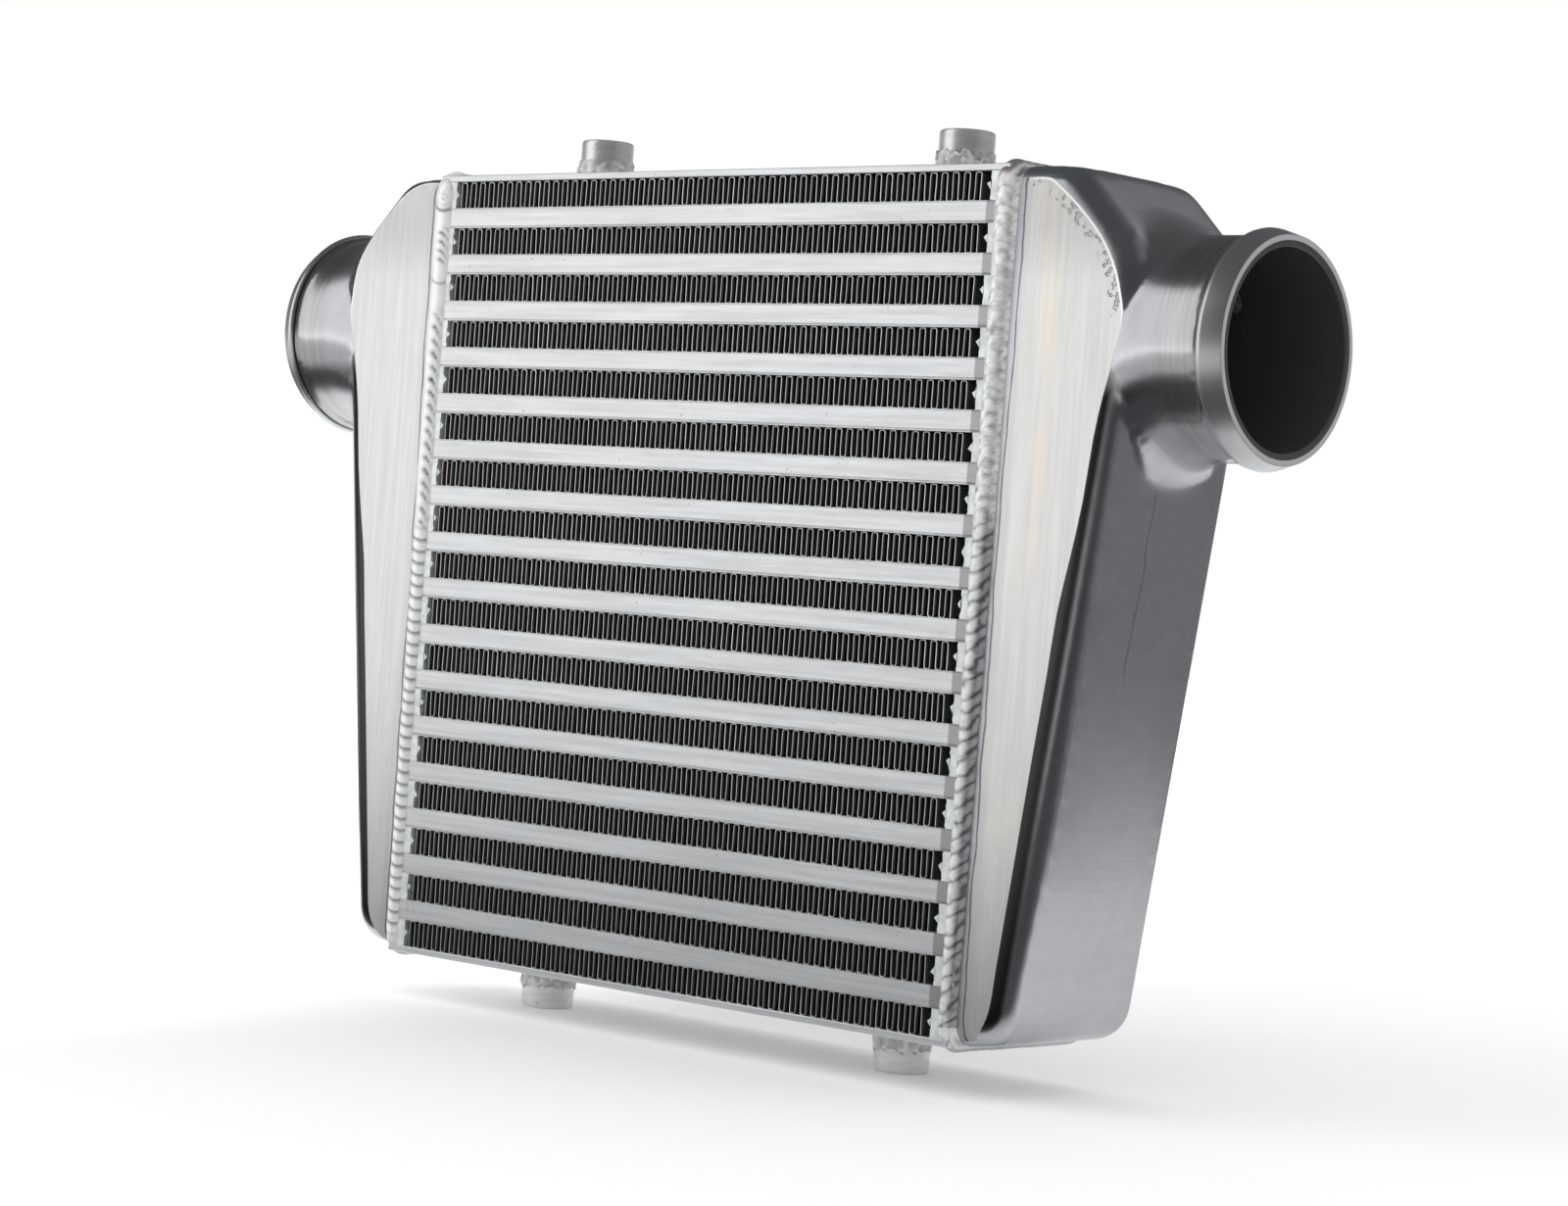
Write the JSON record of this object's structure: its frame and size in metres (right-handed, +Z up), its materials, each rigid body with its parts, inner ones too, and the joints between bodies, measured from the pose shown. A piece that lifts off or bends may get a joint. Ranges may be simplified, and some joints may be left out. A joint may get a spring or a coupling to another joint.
{
  "type": "intercooler",
  "caption": "Front-mounted intercooler with a bar-and-plate core of folded cooling fins, cast end tanks with hose stubs, and threaded mounting bosses.",
  "frame": {"origin": "midway between the ends of the two lower mounting bosses, on the ground under the middle of the core", "axes": "+X along the core towards the longer hose stub, +Y to the rear through the core, +Z up"},
  "size_m": [0.4575, 0.081, 0.3336],
  "materials": {
    "cooling_fin": "satin",
    "turbulator": "satin",
    "core_bar": "satin, fine lengthwise grain",
    "end_bar": "satin",
    "core_plate": "satin",
    "weld_bead": "rippled, bright",
    "boss": "turned, bright",
    "cast_tank": "cast and brushed"
  },
  "bodies": {
    "root": {"bottom_plate": "core_plate", "charge_air_turbulators": "turbulator", "charge_tube_01": "core_bar", "charge_tube_02": "core_bar", "charge_tube_03": "core_bar", "charge_tube_04": "core_bar", "charge_tube_05": "core_bar", "charge_tube_06": "core_bar", "charge_tube_07": "core_bar", "charge_tube_08": "core_bar", "charge_tube_09": "core_bar", "charge_tube_10": "core_bar", "charge_tube_11": "core_bar", "charge_tube_12": "core_bar", "charge_tube_13": "core_bar", "charge_tube_14": "core_bar", "charge_tube_15": "core_bar", "charge_tube_16": "core_bar", "cooling_fin_01": "cooling_fin", "cooling_fin_02": "cooling_fin", "cooling_fin_03": "cooling_fin", "cooling_fin_04": "cooling_fin", "cooling_fin_05": "cooling_fin", "cooling_fin_06": "cooling_fin", "cooling_fin_07": "cooling_fin", "cooling_fin_08": "cooling_fin", "cooling_fin_09": "cooling_fin", "cooling_fin_10": "cooling_fin", "cooling_fin_11": "cooling_fin", "cooling_fin_12": "cooling_fin", "cooling_fin_13": "cooling_fin", "cooling_fin_14": "cooling_fin", "cooling_fin_15": "cooling_fin", "cooling_fin_16": "cooling_fin", "cooling_fin_17": "cooling_fin", "end_bars_left": "end_bar", "end_bars_right": "end_bar", "left_tank": "cast_tank", "mounting_bosses": "boss", "right_tank": "cast_tank", "tank_weld_left": "weld_bead", "tank_weld_right": "weld_bead", "top_plate": "core_plate"}
  },
  "joints": []
}
